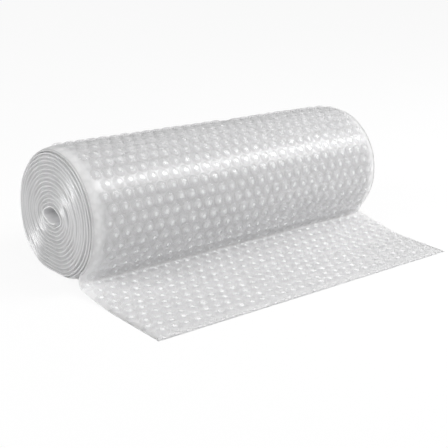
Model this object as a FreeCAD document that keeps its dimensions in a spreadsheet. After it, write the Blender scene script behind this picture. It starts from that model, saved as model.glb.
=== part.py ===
import FreeCAD, Part
import os
from math import atan2, ceil, cos, degrees, hypot, radians, sin, sqrt
from FreeCAD import Vector

# A small roll of bubble film without a core, lying on its side, with its loose end in front.
# One web of film makes the whole roll: it is wound from the flattened hole outwards, comes over
# the top, leaves the roll low on the front in a tight bend and lies out flat on the floor.
# At both ends of the roll the film's edge stands out as a spiral rib, and the layer of bubbles
# between two turns lies a little deeper, as a groove.
# X runs along the roll's axis, the loose end lies towards -Y, Z is up and the floor is Z = 0.
# The origin is on the floor, under the middle of the roll's axis.

DRIVING_SIZES = [
    # name, millimetres, degrees or a count, what it is
    ("film_width", 300.0, "width of the web, which is the roll's length"),
    ("film_thickness", 0.8, "film with the flat rims of its bubbles"),
    ("bubble_pitch", 10.0, "from one bubble to the next in a row"),
    ("bubble_height", 2.9, "point of a free bubble above the film"),
    ("valley_height", 0.3, "between the bubbles, whose points stand for rounder forms"),
    ("edge_margin", 5.0, "plain film along each edge of the web"),
    ("edge_recess", 2.5, "from the film's edge in to the bubbles between two turns"),
    ("pressed_height", 2.0, "bubbles pressed flat under the roll"),
    ("roll_radius", 51.0, "from the axis to the film where it leaves the roll"),
    ("flattening", 2.8, "by which the lowest turn is flatter than a round one"),
    ("turn_count", 15, "turns of web from the hole to the outside"),
    ("hole_width", 19.6, "of the flattened hole, along Y"),
    ("hole_height", 9.4, "of the flattened hole, along Z"),
    ("rest_width", 34.0, "of the flat spot under the roll"),
    ("peel_angle", 133.0, "from the top down the front to where the web leaves the roll"),
    ("bend_radius", 4.5, "of the bend between the roll and the loose end"),
    ("droop_angle", 12.0, "of the loose end below level, just after the bend"),
    ("front_reach", 129.0, "from the axis forward to the cut end"),
]

FULL_TURN = 360.0
BOTTOM = 180.0            # degrees from the top, straight down
FACETS_PER_TURN = 25
CORNER_SOFTNESS = 1.5     # rounds the turns where they run on to the flat spot
SIDEWAYS = 0.1            # cosine below which a turn has no part in the flat spot
ALONG_AXIS = Vector(1.0, 0.0, 0.0)

document = FreeCAD.newDocument("BubbleFilmRoll")


def make_sheet():
    """Spreadsheet with one row for each driving size."""
    sheet = document.addObject("Spreadsheet::Sheet", "Sizes")
    for row, (alias, value, note) in enumerate(DRIVING_SIZES, start=1):
        sheet.set(f"A{row}", alias)
        sheet.set(f"B{row}", str(value))
        sheet.setAlias(f"B{row}", alias)
        sheet.set(f"C{row}", note)
    document.recompute()
    return sheet


sizes = make_sheet()

film_thickness = sizes.film_thickness
peel_angle = sizes.peel_angle
bend_radius = sizes.bend_radius
droop = radians(sizes.droop_angle)

half_width = sizes.film_width / 2.0
half_pitch = sizes.bubble_pitch / 2.0
row_pitch = sizes.bubble_pitch * sqrt(3.0) / 2.0
wound_radius = sizes.roll_radius - film_thickness


def hole_radius(angle):
    """From the axis to the edge of the oval hole."""
    across = sizes.hole_width / 2.0
    upward = sizes.hole_height / 2.0
    turn = radians(angle)
    return across * upward / hypot(upward * sin(turn), across * cos(turn))


def wound_share(angle):
    """1 where the web leaves the roll, 0 at its inner end."""
    return 1.0 - (peel_angle - angle) / FULL_TURN / sizes.turn_count


# The roll is as high above the floor as its lowest turn and the pressed bubbles under it leave it.
# The flat is that of a whole turn of the outermost radius, of which each turn takes its share.
lowest_turn = BOTTOM - FULL_TURN
lowest_hole = hole_radius(lowest_turn)
lowest_share = wound_share(lowest_turn)
round_depth = lowest_hole + (wound_radius - lowest_hole) * lowest_share
axis_height = round_depth - sizes.flattening + film_thickness + sizes.pressed_height
flat_below_axis = wound_radius - sizes.flattening / lowest_share


def round_with_flat(angle):
    """Radius of a circle whose bottom is pressed flat, with soft corners."""
    down = -cos(radians(angle))
    if down <= SIDEWAYS:
        return wound_radius
    flat = flat_below_axis / down
    return (wound_radius + flat - hypot(wound_radius - flat, CORNER_SOFTNESS)) / 2.0


def inside_radius(angle):
    """Inner side of the film. A full turn less is one turn further in."""
    hole = hole_radius(angle)
    return hole + (round_with_flat(angle) - hole) * wound_share(angle)


def film_radius(angle):
    """Outer side of the film, at the foot of its bubbles."""
    return inside_radius(angle) + film_thickness


def polar(radius, angle):
    """Point of the section. Angles run from the top down the front, which faces -Y."""
    turn = radians(angle)
    return Vector(0.0, -radius * sin(turn), axis_height + radius * cos(turn))


def wound_points(radius_at, first, last):
    """Points of a wound surface, from one angle to another, in even steps."""
    count = max(1, ceil(abs(last - first) * FACETS_PER_TURN / FULL_TURN))
    angles = [first + (last - first) * index / count for index in range(count + 1)]
    return [polar(radius_at(angle), angle) for angle in angles]


# The web's route from the roll to its cut end. The bubble side is the upper one here.
# The first bend has its centre outside the roll, the long one that meets the floor above it.
nip_angle = peel_angle - FULL_TURN
inner_end_angle = peel_angle - FULL_TURN * sizes.turn_count
bend_centre = polar(film_radius(peel_angle) + bend_radius, peel_angle)
below = Vector(0.0, sin(droop), -cos(droop))
bend_exit = bend_centre + below * bend_radius
sweep_radius = (bend_exit.z - film_thickness) / (1.0 - cos(droop))
sweep_centre = bend_exit - below * sweep_radius
sweep_length = sweep_radius * droop
touch_y = sweep_centre.y
tail_length = sweep_length + sizes.front_reach + touch_y


def bend_arc(radius):
    """Round the bend, from the roll to the loose end."""
    start = polar(film_radius(peel_angle), peel_angle) - bend_centre
    start.normalize()
    middle = start + below
    middle.normalize()
    points = [bend_centre + direction * radius for direction in (start, middle, below)]
    return Part.Arc(*points).toShape()


def sweep_arc(radius):
    """Long arc that brings the loose end down to the floor."""
    half = droop / 2.0
    directions = (below, Vector(0.0, sin(half), -cos(half)), Vector(0.0, 0.0, -1.0))
    points = [sweep_centre + direction * radius for direction in directions]
    return Part.Arc(*points).toShape()


def tail_point(distance):
    """Point on the upper side of the loose end, that far from the bend."""
    if distance < sweep_length:
        turn = droop - distance / sweep_radius
        return sweep_centre + Vector(0.0, sin(turn), -cos(turn)) * sweep_radius
    return Vector(0.0, touch_y - (distance - sweep_length), film_thickness)


# The flat spot: a pad of pressed bubbles whose sides point to the axis.
half_rest = sizes.rest_width / 2.0
rest_turn = degrees(atan2(half_rest, axis_height))
front_foot_angle = BOTTOM - rest_turn - FULL_TURN
back_foot_angle = BOTTOM + rest_turn - FULL_TURN


# Each bubble stands in a six-sided cell. The cells of a row are shifted by half a cell against
# those of the next, so the border between two rows is a zigzag.
class Stretch:
    """A stretch of film with staggered rows of bubbles, and plain film before and after them."""

    def __init__(self, first, last, length, place):
        self.first = first
        self.last = last
        self.place = place
        self.row_count = max(2, round(length / row_pitch) - 1)
        self.step = (last - first) / (self.row_count + 1)

    def row_spot(self, row):
        """Where the middle of a row lies. Row 0 is the first."""
        return self.first + self.step * (row + 1)

    def border_spot(self, border, column):
        """Where the border before a row crosses a column. The outermost ones are straight."""
        if border == 0:
            return self.row_spot(0) - self.step / 2.0
        if border == self.row_count:
            return self.row_spot(border - 1) + self.step / 2.0
        shares_of_row = 2.0 if has_bubble(column, border - 1) else 1.0
        return self.row_spot(border - 1) + self.step * shares_of_row / 3.0

    def outline(self):
        """Points of the stretch along the film's edge."""
        spots = [self.border_spot(border, 0) for border in range(self.row_count + 1)]
        return [self.place(spot) for spot in [self.first] + spots + [self.last]]

    def raised(self, spot, height):
        """Point that far above the film."""
        ahead = self.place(spot + self.step / 2.0)
        behind = self.place(spot - self.step / 2.0)
        outward = (ahead - behind).cross(ALONG_AXIS)
        outward.normalize()
        return self.place(spot) + outward * height


def has_bubble(column, row):
    """Columns are half a bubble apart, and bubbles stand on every second one."""
    return (column + row) % 2 == 1


def roll_point(angle):
    """Point on the film of the turn that shows."""
    return polar(film_radius(angle), angle)


roll_arc = radians(peel_angle - back_foot_angle) * film_radius(0.0)
roll_stretch = Stretch(back_foot_angle, peel_angle, roll_arc, roll_point)
tail_stretch = Stretch(0.0, tail_length, tail_length, tail_point)
roll_rows = roll_stretch.outline()
tail_rows = tail_stretch.outline()

# The groove between two turns: its outer lip is the inner side of the turn over it.
groove_outer_lip = wound_points(inside_radius, peel_angle, inner_end_angle + FULL_TURN)
groove_inner_lip = wound_points(film_radius, nip_angle, inner_end_angle)
hole_outline = wound_points(inside_radius, inner_end_angle + FULL_TURN, inner_end_angle)
under_bend = wound_points(film_radius, nip_angle, front_foot_angle)
rest_face = [Vector(0.0, -half_rest, 0.0), Vector(0.0, half_rest, 0.0)]
rest_outline = [under_bend[-1]] + rest_face + [roll_rows[0]]
front_outline = [tail_rows[-1], Vector(0.0, tail_rows[-1].y, 0.0), Vector(0.0, touch_y, 0.0)]


def polyline(points):
    """Straight edges from point to point."""
    return [Part.makeLine(start, end) for start, end in zip(points, points[1:])]


def facet(points):
    """Flat face with straight edges."""
    return Part.Face(Part.makePolygon(points + points[:1]))


def plain_outline():
    """Edges of the section whose surfaces run straight along the whole roll."""
    edges = [bend_arc(bend_radius), bend_arc(bend_radius + film_thickness)]
    edges.append(sweep_arc(sweep_radius + film_thickness))
    for points in (front_outline, hole_outline, under_bend, rest_outline):
        edges += polyline(points)
    return edges


def film_section():
    """Cut through the film alone: the loose end and all turns, as one narrow closed band."""
    edges = plain_outline() + polyline(roll_rows) + polyline(tail_rows)
    edges += polyline(groove_outer_lip) + polyline(groove_inner_lip)
    edges.append(Part.makeLine(hole_outline[-1], groove_inner_lip[-1]))
    return Part.Face(Part.Wire(Part.__sortEdges__(edges)))


def bubble_skin(stretch):
    """The film between its edges, with a low six-sided point for each bubble."""
    columns = 2 * int((half_width - sizes.edge_margin) / half_pitch)
    across = ALONG_AXIS * half_width
    row_count = stretch.row_count

    def column_x(column):
        return ALONG_AXIS * ((column - columns / 2) * half_pitch)

    def corner(border, column):
        spot = stretch.border_spot(border, column)
        inner = 0 < border < row_count and 0 < column < columns
        foot = stretch.raised(spot, sizes.valley_height) if inner else stretch.place(spot)
        return foot + column_x(column)

    faces = []
    for row in range(row_count):
        near, far = row, row + 1
        for column in range(1, columns):
            if not has_bubble(column, row):
                continue
            peak = stretch.raised(stretch.row_spot(row), sizes.bubble_height) + column_x(column)
            cell = [corner(near, column - 1), corner(near, column), corner(near, column + 1)]
            cell += [corner(far, column + 1), corner(far, column), corner(far, column - 1)]
            for start, end in zip(cell, cell[1:] + cell[:1]):
                faces.append(facet([start, end, peak]))
        if has_bubble(0, row):
            for edge, inner in ((0, 1), (columns, columns - 1)):
                faces.append(facet([corner(near, edge), corner(near, inner), corner(far, inner)]))
                faces.append(facet([corner(near, edge), corner(far, inner), corner(far, edge)]))
        for column, edge in ((0, -across), (columns, across)):
            film_edge = [stretch.place(stretch.border_spot(far, 0)) + edge]
            film_edge += [stretch.place(stretch.border_spot(near, 0)) + edge]
            faces.append(facet([corner(near, column), corner(far, column)] + film_edge))
    for border, end in ((0, stretch.first), (row_count, stretch.last)):
        row_line = [corner(border, column) for column in range(columns + 1)]
        row_edge = stretch.place(stretch.border_spot(border, 0))
        plain_edge = stretch.place(end)
        outline = [row_edge - across] + row_line + [row_edge + across]
        faces.append(facet(outline + [plain_edge + across, plain_edge - across]))
    return faces


def groove_bottom():
    """Deepest line of the groove, midway between its lips."""
    return [(outer + inner) / 2.0 for outer, inner in zip(groove_outer_lip, groove_inner_lip)]


def roll_end(side):
    """One end of the roll: the film's edge, and the two walls of the groove between the turns."""
    face_x = ALONG_AXIS * (side * half_width)
    floor_x = ALONG_AXIS * (side * (half_width - sizes.edge_recess))
    bottom = [point + floor_x for point in groove_bottom()]
    faces = [film_section().translated(face_x)]
    for lip in (groove_outer_lip, groove_inner_lip):
        edge = [point + face_x for point in lip]
        for index in range(len(edge) - 1):
            faces.append(facet([edge[index], edge[index + 1], bottom[index]]))
            faces.append(facet([edge[index + 1], bottom[index + 1], bottom[index]]))
    return faces


def groove_stop(index):
    """Flat face along the roll that closes the groove at one end of its spiral."""
    outer = groove_outer_lip[index]
    inner = groove_inner_lip[index]
    bottom = groove_bottom()[index]
    to_face = ALONG_AXIS * half_width
    to_floor = ALONG_AXIS * (half_width - sizes.edge_recess)
    points = [outer - to_face, outer + to_face, bottom + to_floor, inner + to_face]
    if index == -1:
        points += [hole_outline[-1] + to_face, hole_outline[-1] - to_face]
    points += [inner - to_face, bottom - to_floor]
    return facet(points)


def make_feature(name, shape):
    """Document object that holds a shape."""
    feature = document.addObject("Part::Feature", name)
    feature.Label = name
    feature.Shape = shape
    return feature


def make_plain_faces():
    """All surfaces that run straight along the roll."""
    outline = make_feature("plain_outline", Part.makeCompound(plain_outline()))
    plain_faces = document.addObject("Part::Extrusion", "plain_faces")
    plain_faces.Base = outline
    plain_faces.DirMode = "Custom"
    plain_faces.Dir = ALONG_AXIS
    plain_faces.Symmetric = True
    plain_faces.setExpression("LengthFwd", "Sizes.film_width")
    document.recompute()
    return plain_faces


def make_roll():
    """The finished roll, one solid inside all its surfaces."""
    skins = bubble_skin(roll_stretch) + bubble_skin(tail_stretch)
    parts = [
        make_plain_faces(),
        make_feature("bubble_skin", Part.makeCompound(skins)),
        make_feature("roll_ends", Part.makeCompound(roll_end(-1.0) + roll_end(1.0))),
        make_feature("groove_stops", Part.makeCompound([groove_stop(0), groove_stop(-1)])),
    ]
    faces = [face for part in parts for face in part.Shape.Faces]
    skin = Part.makeCompound(faces)
    skin.sewShape()
    if len(skin.Shells) != 1 or not skin.Shells[0].isClosed():
        raise RuntimeError("the roll's surfaces don't close")
    return make_feature("bubble_film_roll", Part.Solid(skin.Shells[0]))


def check_document():
    """Stop if an object failed or holds no sound shape."""
    document.recompute()
    for item in document.Objects:
        if "Invalid" in item.State or "Error" in item.State:
            raise RuntimeError(f"{item.Label} failed: {item.State}")
        if hasattr(item, "Shape") and (item.Shape.isNull() or not item.Shape.isValid()):
            raise RuntimeError(f"{item.Label} has no valid shape")


roll = make_roll()
check_document()
os.makedirs("parts", exist_ok=True)
roll.Shape.exportStep(f"parts/{roll.Label}.step")
print(f"{roll.Label}: {roll.Shape.Volume:.0f} cubic mm, {len(roll.Shape.Faces)} faces")
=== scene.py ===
import math
import random
from bisect import bisect_right

import bmesh
import bpy
from mathutils import Matrix, Vector, noise


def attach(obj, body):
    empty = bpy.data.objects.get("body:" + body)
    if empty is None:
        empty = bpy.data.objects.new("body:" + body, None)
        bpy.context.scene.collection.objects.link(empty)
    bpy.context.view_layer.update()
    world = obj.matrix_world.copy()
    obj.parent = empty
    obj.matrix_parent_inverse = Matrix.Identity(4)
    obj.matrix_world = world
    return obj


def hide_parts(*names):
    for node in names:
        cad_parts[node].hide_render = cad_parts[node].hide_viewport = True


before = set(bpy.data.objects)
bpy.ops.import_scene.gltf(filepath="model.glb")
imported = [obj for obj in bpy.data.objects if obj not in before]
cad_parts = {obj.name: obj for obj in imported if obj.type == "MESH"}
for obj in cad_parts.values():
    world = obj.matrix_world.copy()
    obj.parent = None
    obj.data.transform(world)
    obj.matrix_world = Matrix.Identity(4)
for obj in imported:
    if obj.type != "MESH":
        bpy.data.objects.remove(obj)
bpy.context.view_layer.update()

mm = 0.001
random.seed(11)


# The web's route, in millimetres, with the solid's sizes. Angles run from the top of the roll
# down its front, which faces -Y.
web = {
    "width": 300.0,
    "filmThickness": 0.8,
    "rollRadius": 51.0,
    "flattening": 2.8,           # of the lowest turn, against a round one
    "turnCount": 15,
    "holeWidth": 19.6,
    "holeHeight": 9.4,
    "pressedHeight": 2.0,
    "peelAngle": 133.0,
    "bendRadius": 4.5,
    "droopAngle": 12.0,
    "frontReach": 129.0,
    "restWidth": 34.0,
    "cornerSoftness": 1.5,
    "rimBack": 3.0,              # outer turns end that far short of the inner ones
    "rimDrop": 2.4,              # and their edges curl in by that much
    "rimWidth": 14.0,
    "edgeThin": 0.5,             # the free edges are pressed thin
    "looseRise": 2.2,            # the bend is looser at the right end
    "looseForward": 2.6,
}

bubble = {
    "pitch": 10.0,
    "sides": 12,
    "rings": ((4.8, 0.05), (4.3, 0.85), (3.3, 1.5), (1.9, 1.8)),    # radius and height
    "edgeMargin": 0.3,           # plain film along the edges of the loose end
    "rollMargin": 7.0,           # and of the turn that shows
    "cutHeight": 0.35,           # of the bubbles that the cut end goes through
    "woundShare": 0.85,          # height of those on the roll against those on the loose end
    "heightSpread": 0.1,
    "tilt": 0.06,
    "slackShare": 0.05,          # bubbles that have lost most of their air
    "slackHeight": 0.45,
}

spiral = {
    "stepsPerTurn": 120,
    "grooveDepth": 1.3,
    "edgeWave": 0.8,
    "radiusWave": 0.35,
    "tipRounding": 0.35,
    "lapWidth": 1.5,             # of the outermost turn's edge over the web that is shown
    "lapHeight": 0.06,
    "tunnelDepth": (5, 30, 80),  # from the roll's end, where the hole's width changes a little
}

# How uneven the film on the roll lies.
ripple = {
    "swell": 0.35,
    "swellSize": (45, 38),       # across the web and along it
    "crinkle": 0.35,             # near the edges only
    "crinkleSize": (9, 14),
}

studio = {
    "resolution": 448,
    "floorHalfWidth": 6,         # metres
    "floorGrey": 0.9,
    "floorGlow": 0.89,           # share of plain white that the camera sees on the floor
    "around": 0.58,              # light from all sides
    "rearLoss": 0.5,             # and how much less comes from behind
}

# Position and target in metres, size across and up, and radiance.
softBoxes = {
    "overhead": ((0.625, -0.44, 0.717), (0.625, -0.041, 0.081), (0.95, 0.3), 7.7),
    "left": ((-1.0, 0.05, 0.57), (-0.15, 0, 0.05), (0.45, 0.4), 8.5),
    "front": ((-0.25, -1.1, 0.85), (0, 0, 0.05), (1.2, 0.7), 0.3),
}

# The camera that the photo's outline fits.
photoView = {
    "azimuth": 42.1972,
    "elevation": 18.8333,
    "roll": 3.2551,
    "distance": 0.8301,
    "target": (0.0176, 0, 0.01097),
    "lens": 79.86,
    "sensor": 36,
    "clipStart": 0.05,
}


# Half the hole's size in a direction. The hole is an ellipse.
def holeRadius(angle):
    turn = math.radians(angle)
    halfWidth, halfHeight = web["holeWidth"] / 2, web["holeHeight"] / 2
    return halfWidth * halfHeight / math.hypot(halfHeight * math.sin(turn), halfWidth * math.cos(turn))


# How far out a turn lies: 0 at the hole, 1 where the web leaves the roll.
def woundShare(angle):
    return 1 - (web["peelAngle"] - angle) / 360 / web["turnCount"]


# The lowest turn and the pressed bubbles under it carry the roll.
woundRadius = web["rollRadius"] - web["filmThickness"]
lowestHole = holeRadius(-180)
lowestShare = woundShare(-180)
roundDepth = lowestHole + (woundRadius - lowestHole) * lowestShare
axisHeight = roundDepth - web["flattening"] + web["filmThickness"] + web["pressedHeight"]
deepFlat = woundRadius - web["flattening"] / lowestShare

# The innermost turn runs on from here to the hole.
innerTurnStart = web["peelAngle"] - 360 * web["turnCount"] + 360


# The inner side of a turn. Below the axis it runs on to the flat spot.
def insideRadius(angle):
    down = -math.cos(math.radians(angle))
    outer = woundRadius
    if down > 0.1:
        flat = deepFlat / down
        outer = (woundRadius + flat - math.hypot(woundRadius - flat, web["cornerSoftness"])) / 2
    hole = holeRadius(angle)
    return hole + (outer - hole) * woundShare(angle)


def filmRadius(angle):
    return insideRadius(angle) + web["filmThickness"]


def polar(radius, angle):
    turn = math.radians(angle)
    return Vector((0, -radius * math.sin(turn), axisHeight + radius * math.cos(turn)))


def smooth(value, low, high):
    share = min(max((value - low) / (high - low), 0), 1)
    return share * share * (3 - 2 * share)


# From the cut end over the floor, round the bend and once round the roll, as points of the
# bubble side with the distance to each.
def webRoute():
    peel, bend, film = web["peelAngle"], web["bendRadius"], web["filmThickness"]
    droop = math.radians(web["droopAngle"])
    centre = polar(filmRadius(peel) + bend, peel)
    below = Vector((0, math.sin(droop), -math.cos(droop)))
    exitPoint = centre + below * bend
    sweep = (exitPoint.z - film) / (1 - math.cos(droop))
    sweepCentre = exitPoint - below * sweep
    start = (polar(filmRadius(peel), peel) - centre).normalized()
    bendTurn = below.angle(start)

    points = [Vector((0, -web["frontReach"] + step, film)) for step in range(0, 46, 2)]
    points = [point for point in points if point.y < sweepCentre.y - 1]
    for step in range(25):
        turn = droop * step / 24
        points.append(sweepCentre + Vector((0, math.sin(turn), -math.cos(turn))) * sweep)
    bendAt = len(points) - 1
    for step in range(1, 20):
        turn = droop + bendTurn * step / 20
        points.append(centre + Vector((0, math.sin(turn), -math.cos(turn))) * bend)
    rollAt = len(points)
    for step in range(361):
        angle = peel - step
        points.append(polar(filmRadius(angle), angle))

    reach = [0.0]
    for near, far in zip(points, points[1:]):
        reach.append(reach[-1] + (far - near).length)
    return points, reach, bendAt, rollAt


route, reach, bendAt, rollAt = webRoute()
bendStart, rollStart = reach[bendAt], reach[rollAt]
print("web length", round(reach[-1]), "mm, roll starts at", round(rollStart))

# Rows of bubbles stand where the solid has them. Two more fill the bend.
rowPitch = bubble["pitch"] * math.sqrt(3) / 2
restTurn = math.degrees(math.atan2(web["restWidth"] / 2, axisHeight))
rollTurn = web["peelAngle"] + 180 - restTurn
turnPerRow = rollTurn / round(math.radians(rollTurn) * filmRadius(0) / rowPitch)
tailRows = round(bendStart / rowPitch)
rollRow = tailRows + 2
webRows = rollRow - 1 + 360 / turnPerRow


# Distance along the web, so many degrees round the roll from where the web leaves it.
def turnedSpot(degrees):
    turned = min(max(degrees, 0), 359.999)
    index = rollAt + int(turned)
    return reach[index] + (reach[index + 1] - reach[index]) * (turned % 1)


# Distance along the web of a row, which can be a fraction.
def rowSpot(row):
    if row <= tailRows - 1:
        return row * bendStart / tailRows
    rollSpot = turnedSpot(max((row - rollRow + 1) * turnPerRow, turnPerRow))
    if row >= rollRow:
        return rollSpot
    lastTailSpot = bendStart * (tailRows - 1) / tailRows
    share = (row - tailRows + 1) / (rollRow - tailRows + 1)
    return lastTailSpot + (rollSpot - lastTailSpot) * share


outwards = []
for number in range(len(route)):
    before = route[max(number - 1, 0)]
    after = route[min(number + 1, len(route) - 1)]
    outwards.append(Vector((1, 0, 0)).cross(after - before).normalized())


# Where a spot of the flat web comes to lie: across it, along it and above it.
def place(across, along, height):
    index = min(max(bisect_right(reach, along) - 1, 0), len(reach) - 2)
    share = (along - reach[index]) / (reach[index + 1] - reach[index])
    point = route[index].lerp(route[index + 1], share)
    outward = outwards[index].lerp(outwards[index + 1], share).normalized()

    halfWidth = web["width"] / 2
    wound = smooth(along, rollStart - 14, rollStart + 6)
    rim = max(0, abs(across) - halfWidth + web["rimWidth"]) / web["rimWidth"]
    swellAcross, swellAlong = ripple["swellSize"]
    swell = noise.noise(Vector((across / swellAcross, along / swellAlong, 3.7))) * ripple["swell"]
    crinkleAcross, crinkleAlong = ripple["crinkleSize"]
    crinkle = noise.noise(Vector((across / crinkleAcross, along / crinkleAlong, 8.1)))
    crinkle *= ripple["crinkle"] * rim
    lift = height + wound * (swell + crinkle - web["rimDrop"] * rim ** 2.5)
    freeEdge = max(smooth(abs(across), halfWidth - 2, halfWidth), 1 - smooth(along, 0, 2))
    lift -= freeEdge * web["edgeThin"] * (height > -web["edgeThin"]) * (1 - wound)
    spot = point + outward * lift
    spot.x = across - math.copysign(web["rimBack"] * rim * wound, across)

    loose = smooth(across, -90, 150)
    nearBend = smooth(along, rollStart - 60, rollStart - 16)
    nearBend *= 1 - smooth(along, rollStart - 12, rollStart + 5)
    spot.z += loose * nearBend * web["looseRise"]
    spot.y -= loose * nearBend * web["looseForward"]
    spot.z = max(spot.z, 0.05)
    return spot * mm


# One hexagonal cell of the web: a flat rim with its bubble.
def bubbleCell(mesh):
    pitch = bubble["pitch"]
    made = bmesh.ops.create_circle(mesh, cap_ends=True, segments=bubble["sides"], radius=1)
    cap = made["verts"][0].link_faces[0]
    for number, corner in enumerate(cap.verts):
        angle = 2 * math.pi * number / bubble["sides"]
        radius = pitch / 2 if number % 2 == 0 else pitch / math.sqrt(3)
        corner.co = (radius * math.cos(angle), radius * math.sin(angle), 0)
    for radius, height in bubble["rings"]:
        bmesh.ops.inset_individual(mesh, faces=[cap], thickness=0.05)
        for number, corner in enumerate(cap.verts):
            angle = 2 * math.pi * number / bubble["sides"]
            corner.co = (radius * math.cos(angle), radius * math.sin(angle), height)
    if cap.normal.z < 0:
        bmesh.ops.reverse_faces(mesh, faces=mesh.faces)


def move(mesh, geometry, shift):
    verts = [item for item in geometry if isinstance(item, bmesh.types.BMVert)]
    bmesh.ops.translate(mesh, verts=verts, vec=shift)


def copyMoved(mesh, geometry, shift):
    move(mesh, bmesh.ops.duplicate(mesh, geom=geometry)["geom"], shift)


def everything(mesh):
    return mesh.verts[:] + mesh.edges[:] + mesh.faces[:]


# Texture coordinates from where a mesh's corners are now, before it is bent to its shape.
def writeFlat(mesh, spotOf):
    layer = mesh.loops.layers.uv.new("flat")
    for face in mesh.faces:
        for loop in face.loops:
            loop[layer].uv = spotOf(loop.vert.co)
    return layer


def addObject(name, data):
    made = bpy.data.objects.new(name, data)
    bpy.context.scene.collection.objects.link(made)
    return made


def finishPiece(name, mesh, material):
    data = bpy.data.meshes.new(name)
    for face in mesh.faces:
        face.smooth = True
    mesh.to_mesh(data)
    mesh.free()
    piece = addObject(name, data)
    data.materials.append(material)
    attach(piece, "root")
    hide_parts("bubble_film_roll")
    print(name, len(data.polygons), "faces")


# From the flat web, in which bubbles are evenly spaced, to where it lies.
def bendWeb(mesh):
    pitch = bubble["pitch"]
    writeFlat(mesh, lambda spot: (spot.x / pitch + 0.5, spot.y / pitch))
    for vert in mesh.verts:
        across, along, height = vert.co
        vert.co = place(across, rowSpot(along / rowPitch), height)


# The skins of all bubbles, in staggered rows, without the film between them.
def webBubbles(material):
    pitch = bubble["pitch"]
    halfWidth = web["width"] / 2
    columns = int(halfWidth / pitch)

    mesh = bmesh.new()
    bubbleCell(mesh)
    bmesh.ops.translate(mesh, verts=mesh.verts, vec=(-columns * pitch - pitch / 2, 0, 0))
    cell = everything(mesh)
    for column in range(1, 2 * columns + 2):
        copyMoved(mesh, cell, (column * pitch, 0, 0))
    row = everything(mesh)
    for number in range(1, int(webRows)):
        copyMoved(mesh, row, (number % 2 * pitch / 2, number * rowPitch, 0))

    # Each bubble's own height and lean. Those too near an edge are left out.
    traits = {}
    for vert in mesh.verts:
        if vert.co.z <= 0:
            continue
        number = round(vert.co.y / rowPitch)
        shift = (number + 1) % 2 * pitch / 2
        column = round((vert.co.x - shift) / pitch)
        centreX, centreY = column * pitch + shift, number * rowPitch
        if (column, number) not in traits:
            height = 1 + random.uniform(-bubble["heightSpread"], bubble["heightSpread"])
            if random.random() < bubble["slackShare"]:
                height = bubble["slackHeight"]
            margin = bubble["rollMargin"] if number >= rollRow else bubble["edgeMargin"]
            if abs(centreX) > halfWidth - margin - pitch * 0.42:
                height = 0
            if number == 0:
                height *= bubble["cutHeight"]
            if number >= rollRow:
                height *= bubble["woundShare"]
            lean = Vector((random.uniform(-1, 1), random.uniform(-1, 1))) * bubble["tilt"]
            traits[column, number] = height, lean
        height, lean = traits[column, number]
        offset = Vector((vert.co.x - centreX, vert.co.y - centreY))
        vert.co.z *= height * (1 + lean.dot(offset))

    flats = [face for face in mesh.faces if min(vert.co.z for vert in face.verts) < 0.01]
    bmesh.ops.delete(mesh, geom=flats, context="FACES")
    bmesh.ops.bisect_plane(mesh, geom=everything(mesh), plane_co=(0, 0.2, 0), plane_no=(0, -1, 0),
                           clear_outer=True)
    bendWeb(mesh)
    finishPiece("webBubbles", mesh, material)


# The web's film: a thin sheet whose upper side is the foot of the bubbles.
def webFilmPiece(material):
    halfWidth = web["width"] / 2
    mesh = bmesh.new()
    bmesh.ops.create_grid(mesh, x_segments=60, y_segments=260, size=1)
    for vert in mesh.verts:
        along = (vert.co.y + 1) / 2 * webRows * rowPitch
        vert.co = (vert.co.x * halfWidth, along, -web["filmThickness"])
    made = bmesh.ops.extrude_face_region(mesh, geom=mesh.faces[:])["geom"]
    move(mesh, made, (0, 0, web["filmThickness"]))
    # The extrusion adds the faces round the edge in an order that changes from run to run.
    weights = Vector((1, math.pi, math.e))
    mesh.faces.sort(key=lambda face: face.calc_center_median().dot(weights))
    bmesh.ops.recalc_face_normals(mesh, faces=mesh.faces)
    for edge in mesh.edges:
        edge.smooth = edge.calc_face_angle() < 1
    bendWeb(mesh)
    finishPiece("webFilm", mesh, material)


# How much a turn's edge curls in, ends short and strays at a wound angle.
def edgeDrop(angle):
    return web["rimDrop"] * max(woundShare(angle), 0) ** 10


def edgeReach(angle, seed):
    turn = math.radians(angle)
    spot = Vector((math.cos(turn) * 1.6, math.sin(turn) * 1.6, angle / 300 + seed))
    stray = noise.noise(spot) * spiral["edgeWave"]
    return web["width"] / 2 - web["rimBack"] * max(woundShare(angle), 0) ** 8 - 0.3 + stray


def turnRadius(angle, radiusAt, seed):
    turn = math.radians(angle)
    spot = Vector((math.cos(turn) * 2.3, math.sin(turn) * 2.3, angle / 250 + seed + 40))
    inner = 1 - max(woundShare(angle), 0) ** 3
    return radiusAt(angle) - edgeDrop(angle) + noise.noise(spot) * spiral["radiusWave"] * inner


# How far the outermost turn's edge moves to meet the web's, and where it laps on to it.
def edgeOnWeb(angle, side, lip, edge):
    peel = web["peelAngle"]
    hold = smooth(angle, peel - 360, peel - 330)
    along = turnedSpot(peel - angle)
    own = polar(lip, angle)
    own.x = side * (edge - spiral["tipRounding"])
    webEdge = place(side * web["width"] / 2, along, 0) / mm
    webEdge.x -= side * spiral["tipRounding"] / 2
    lap = place(side * (web["width"] / 2 - spiral["lapWidth"]), along, spiral["lapHeight"]) / mm
    return (webEdge - own) * hold, own.lerp(lap, hold)


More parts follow.
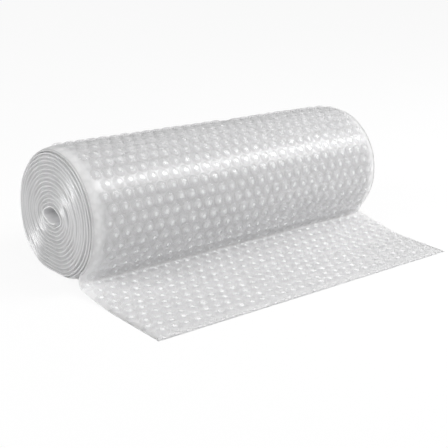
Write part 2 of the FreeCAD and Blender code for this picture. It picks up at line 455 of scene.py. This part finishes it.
# One end of the roll: the film's edge stands out, the layer of bubbles under it lies deeper.
def rollEnd(side, seed, material):
    turns = web["turnCount"] - 1
    steps = turns * spiral["stepsPerTurn"]
    profile = 9
    tip = spiral["tipRounding"]

    mesh = bmesh.new()
    bmesh.ops.create_grid(mesh, x_segments=steps, y_segments=profile - 1, size=1)
    writeFlat(mesh, lambda spot: ((spot.x + 1) / 2 * turns, (spot.y + 1) / 2))
    for vert in mesh.verts:
        angle = web["peelAngle"] + (innerTurnStart - web["peelAngle"]) * (vert.co.x + 1) / 2
        point = round((vert.co.y + 1) / 2 * (profile - 1))
        lip = turnRadius(angle, filmRadius, seed)
        inside = turnRadius(angle, insideRadius, seed)
        nextLip = turnRadius(angle - 360, filmRadius, seed)
        edge = edgeReach(angle, seed)
        nextEdge = edgeReach(angle - 360, seed)
        depth = spiral["grooveDepth"] * (1 + 0.4 * noise.noise(Vector((angle / 25, seed, 0))))
        floorX = min(edge, nextEdge) - depth
        width = inside - nextLip
        radius, across = (
            (lip, edge - tip),
            (lip - 0.15, edge - tip * 0.3),
            ((lip + inside) / 2, edge),
            (inside + 0.15, edge - tip * 0.3),
            (inside, edge - tip),
            (inside - width * 0.25, floorX + depth * 0.42),
            (inside - width * 0.5, floorX),
            (inside - width * 0.75, floorX + depth * 0.42),
            (nextLip, nextEdge - tip),
        )[point]
        spot = polar(radius, angle)
        spot.x = side * across
        if point < 5 and angle > web["peelAngle"] - 360:
            shift, lap = edgeOnWeb(angle, side, lip, edge)
            spot = lap if point == 0 else spot + shift
        vert.co = spot * mm
    bmesh.ops.recalc_face_normals(mesh, faces=mesh.faces)
    outward = sum(face.normal.x for face in mesh.faces)
    if outward * side < 0:
        bmesh.ops.reverse_faces(mesh, faces=mesh.faces)
    finishPiece("rollEnd" + ("Right" if side > 0 else "Left"), mesh, material)


# The innermost turn's edges and the tunnel between them. The web starts in it with a small step.
def centreHole(material):
    turns = web["turnCount"]
    tip = spiral["tipRounding"]
    shallow, middle, deep = spiral["tunnelDepth"]
    profile = 16
    mesh = bmesh.new()
    bmesh.ops.create_grid(mesh, x_segments=spiral["stepsPerTurn"], y_segments=profile - 1, size=1)
    layer = writeFlat(mesh, lambda spot: ((spot.x + 1) / 2 + turns, (spot.y + 1) / 2))
    webEnds = [edge for edge in mesh.edges if abs(edge.verts[0].co.x + edge.verts[1].co.x) > 1.999]
    for vert in mesh.verts:
        angle = innerTurnStart - 360 * (vert.co.x + 1) / 2
        point = round((vert.co.y + 1) / 2 * (profile - 1))
        side = -1 if point < profile / 2 else 1
        fromEnd = min(point, profile - 1 - point)
        seed = 5 if side < 0 else 9
        edge = edgeReach(angle, seed)
        lip = turnRadius(angle, filmRadius, seed)
        inside = turnRadius(angle, insideRadius, seed)
        radius, across = (
            (lip, edge - tip),
            (lip - 0.2, edge),
            (inside + 0.2, edge),
            (inside, edge - tip),
            (inside, edge - shallow),
            (inside + 0.3, edge - middle),
            (inside, edge - deep),
            (inside, 20),
        )[fromEnd]
        spot = polar(radius, angle)
        spot.x = side * across
        vert.co = spot * mm
    step = bmesh.ops.bridge_loops(mesh, edges=webEnds)["faces"]
    for face in step:
        for loop in face.loops:
            loop[layer].uv = (turns, 0.5)
    bmesh.ops.recalc_face_normals(mesh, faces=mesh.faces)
    finishPiece("centreHole", mesh, material)


# A socket of a material. Its arithmetic adds the nodes that it takes.
class Wire:
    def __init__(self, tree, socket):
        self.tree = tree
        self.socket = socket

    def node(self, kind, inputs, output=0, **settings):
        made = self.tree.nodes.new(kind)
        for name, value in settings.items():
            setattr(made, name, value)
        for key, value in inputs.items():
            if isinstance(value, Wire):
                self.tree.links.new(value.socket, made.inputs[key])
            else:
                made.inputs[key].default_value = value
        return Wire(self.tree, made.outputs[output])

    def math(self, operation, *values):
        return self.node("ShaderNodeMath", dict(enumerate(values or [self])), operation=operation)

    def __add__(self, other):
        return self.math("ADD", self, other)

    def __radd__(self, other):
        return self.math("ADD", other, self)

    def __sub__(self, other):
        return self.math("SUBTRACT", self, other)

    def __rsub__(self, other):
        return self.math("SUBTRACT", other, self)

    def __mul__(self, other):
        return self.math("MULTIPLY", self, other)

    def cosine(self):
        return self.math("COSINE", self)

    def between(self, low, high):
        inputs = {"Value": self, "From Min": low, "From Max": high}
        return self.node("ShaderNodeMapRange", inputs, interpolation_type="SMOOTHSTEP")


def newMaterial(name, settings):
    material = bpy.data.materials.new(name)
    material.use_nodes = True
    tree = material.node_tree
    shader = tree.nodes["Principled BSDF"]
    for key, value in settings.items():
        shader.inputs[key].default_value = value
    return material, tree, shader


def coordinates(tree):
    uv = tree.nodes.new("ShaderNodeUVMap")
    uv.uv_map = "flat"
    split = tree.nodes.new("ShaderNodeSeparateXYZ")
    tree.links.new(uv.outputs[0], split.inputs[0])
    return Wire(tree, uv.outputs[0]), Wire(tree, split.outputs[0]), Wire(tree, split.outputs[1])


# 1 in the middle of each bubble, 0 between them. x and y count in bubble pitches.
def bubbleDots(x, y):
    full = 2 * math.pi
    across = ((x - y * (1 / math.sqrt(3))) * full).cosine()
    along = (y * (full * 2 / math.sqrt(3))).cosine()
    slanted = ((x + y * (1 / math.sqrt(3))) * full).cosine()
    return (across + along + slanted + 1.5) * (1 / 4.5)


# 1 on the loose end, 0 on the roll.
def looseShare(y):
    return 1 - y.between(bendStart / rowPitch * 0.7, rollRow)


filmLook = {
    "Roughness": 0.3,
    "IOR": 1.5,
    "Coat Weight": 0.4,
    "Coat Roughness": 0.2,
    "Subsurface Weight": 1.0,
    "Subsurface Radius": (1, 1, 1),
    "Subsurface Scale": 0.003,
}


def greyTo(tree, level, shader):
    tint = level.node("ShaderNodeCombineColor", {0: level * 0.99, 1: level * 0.99, 2: level})
    tree.links.new(tint.socket, shader.inputs["Base Color"])


# Clear film of the bubbles, with a painted highlight on each bubble's top that is brighter and more
# opaque on the loose end.
def bubbleMaterial():
    look = {"Roughness": 0.2, "IOR": 1.5, "Coat Weight": 1.0, "Coat Roughness": 0.1}
    material, tree, shader = newMaterial("bubbleFilm", look)
    x, y = coordinates(tree)[1:]
    # painted highlight: lighter and more opaque in the middle of each bubble
    paintedGlint = bubbleDots(x, y).between(0.58, 1.0)
    loose = looseShare(y)
    greyTo(tree, 0.74 + paintedGlint * (0.17 + loose * 0.08), shader)
    alpha = 0.25 - loose * 0.13 + paintedGlint * (0.2 + loose * 0.48)
    tree.links.new(alpha.socket, shader.inputs["Alpha"])
    return material


# The film with two layers of bubbles that show through it, a lighter strip along the roll's rims,
# painted shade in the fold where the web leaves the roll, a painted highlight under each of its own
# bubbles on the roll, and no layers under the loose end.
def webMaterial():
    material, tree, shader = newMaterial("webFilm", filmLook)
    uv, x, y = coordinates(tree)
    own = bubbleDots(x, y)
    second = bubbleDots(x * 0.97 + y * 0.05 + 0.37, y * 0.97 - x * 0.03 + 0.21)
    third = bubbleDots(x * 1.02 - y * 0.04 + 0.11, y * 1.03 + x * 0.04 + 0.63)
    blotch = uv.node("ShaderNodeTexNoise", {"Vector": uv, "Scale": 0.35, "Detail": 3.0})
    layers = second.between(0.4, 0.9) * 0.09 + third.between(0.4, 0.9) * 0.07
    loose = looseShare(y)
    rim = (x - 0.5).math("ABSOLUTE").between(13.7, 14.5)
    # painted highlight: the film is lighter under the middle of each bubble on the roll, with painted
    # shade between them
    level = 0.63 + (own.between(0.3, 0.95) * 0.08 + layers + rim * 0.28) * (1 - loose)
    # painted shade: darker across the fold where the web leaves the roll
    paintedCreaseShade = y.between(tailRows * 0.9, rollRow) * (1 - y.between(rollRow + 2, rollRow + 7))
    level = level + loose * 0.28 - paintedCreaseShade * 0.08 + (blotch - 0.5) * 0.1
    greyTo(tree, level, shader)
    return material


# The turns at the roll's ends: painted shade in the grooves, a painted highlight on the edges between
# them, lighter still on the outermost turn's edge.
def endMaterial(name, level):
    look = dict(filmLook)
    look["Coat Weight"] = 1.0
    look["Coat Roughness"] = 0.27
    material, tree, shader = newMaterial(name, look)
    uv, along, across = coordinates(tree)
    blotch = uv.node("ShaderNodeTexNoise", {"Vector": uv, "Scale": 2.2, "Detail": 4.0})
    paintedGrooveShade = across.between(0.30, 0.6) * (1 - across.between(0.85, 1.0))
    outermost = 1 - along.between(0.95, 1.0)
    tip = 1 - across.between(0.3, 0.5)
    # painted shade in the grooves and painted highlight on the film edges
    level = level - paintedGrooveShade * 0.04 + tip * 0.04 + tip * outermost * 0.16 + (blotch - 0.5) * 0.12
    greyTo(tree, level, shader)
    return material


def floorMaterial():
    material = bpy.data.materials.new("floor")
    material.use_nodes = True
    tree = material.node_tree
    diffuse = tree.nodes["Principled BSDF"]
    grey = studio["floorGrey"]
    diffuse.inputs["Base Color"].default_value = (grey, grey, grey, 1)
    diffuse.inputs["Roughness"].default_value = 1
    diffuse.inputs["Specular IOR Level"].default_value = 0
    glow = tree.nodes.new("ShaderNodeEmission")
    glow.inputs["Color"].default_value = (1, 1, 1, 1)
    path = tree.nodes.new("ShaderNodeLightPath")
    share = Wire(tree, path.outputs["Is Camera Ray"]) * studio["floorGlow"]
    mix = share.node("ShaderNodeMixShader", {0: share})
    tree.links.new(diffuse.outputs[0], mix.socket.node.inputs[1])
    tree.links.new(glow.outputs[0], mix.socket.node.inputs[2])
    tree.links.new(mix.socket, tree.nodes["Material Output"].inputs["Surface"])
    return material


def addFloor():
    mesh = bmesh.new()
    bmesh.ops.create_grid(mesh, x_segments=1, y_segments=1, size=studio["floorHalfWidth"])
    data = bpy.data.meshes.new("floor")
    mesh.to_mesh(data)
    mesh.free()
    floor = addObject("floor", data)
    data.materials.append(floorMaterial())


# Aimed from a spot towards another, with the long side as level as it can be.
def aimed(position, target):
    back = (position - target).normalized()
    right = Vector((0, 0, 1)).cross(back).normalized()
    up = back.cross(right)
    turned = Matrix((right, up, back)).transposed().to_4x4()
    return Matrix.Translation(position) @ turned


def addSoftBox(name, position, target, size, radiance):
    light = bpy.data.lights.new(name, "AREA")
    light.shape = "RECTANGLE"
    light.size, light.size_y = size
    light.energy = radiance * math.pi * size[0] * size[1]
    lamp = addObject(name, light)
    lamp.matrix_world = aimed(Vector(position), Vector(target))


# White for the camera. As a light it is grey, and darker towards the rear.
def addWorld():
    level = studio["around"]
    world = bpy.data.worlds.new("studio")
    bpy.context.scene.world = world
    world.use_nodes = True
    tree = world.node_tree
    background = tree.nodes["Background"]
    background.inputs["Color"].default_value = (1, 1, 1, 1)
    split = tree.nodes.new("ShaderNodeSeparateXYZ")
    tree.links.new(tree.nodes.new("ShaderNodeTexCoord").outputs["Generated"], split.inputs[0])
    rear = Wire(tree, split.outputs[1]).between(-0.1, 0.9)
    around = level - rear * (level * studio["rearLoss"])
    backdrop = Wire(tree, tree.nodes.new("ShaderNodeLightPath").outputs["Is Camera Ray"])
    tree.links.new((around + backdrop * (1 - around)).socket, background.inputs["Strength"])


def addCamera():
    azimuth, elevation = math.radians(photoView["azimuth"]), math.radians(photoView["elevation"])
    level = math.cos(elevation)
    back = Vector((-math.sin(azimuth) * level, -math.cos(azimuth) * level, math.sin(elevation)))
    target = Vector(photoView["target"])
    camera = bpy.data.cameras.new("photoView")
    camera.lens = photoView["lens"]
    camera.sensor_width = photoView["sensor"]
    camera.clip_start = photoView["clipStart"]
    holder = addObject("photoView", camera)
    roll = Matrix.Rotation(math.radians(photoView["roll"]), 4, "Z")
    holder.matrix_world = aimed(target + back * photoView["distance"], target) @ roll
    bpy.context.scene.camera = holder


endFilm = endMaterial("endFilm", 0.54)
webBubbles(bubbleMaterial())
webFilmPiece(webMaterial())
rollEnd(-1, 5, endFilm)
rollEnd(1, 9, endFilm)
# painted light: the hole's film is much lighter than the ends' film, against the shade in the tunnel
centreHole(endMaterial("holeFilm", 0.78))
print("pieces done")

addFloor()
addWorld()
for name, (position, target, size, radiance) in softBoxes.items():
    addSoftBox(name, position, target, size, radiance)
addCamera()
print("studio done")

scene = bpy.context.scene
scene.render.resolution_x = studio["resolution"]
scene.render.resolution_y = studio["resolution"]
scene.view_settings.view_transform = "Standard"
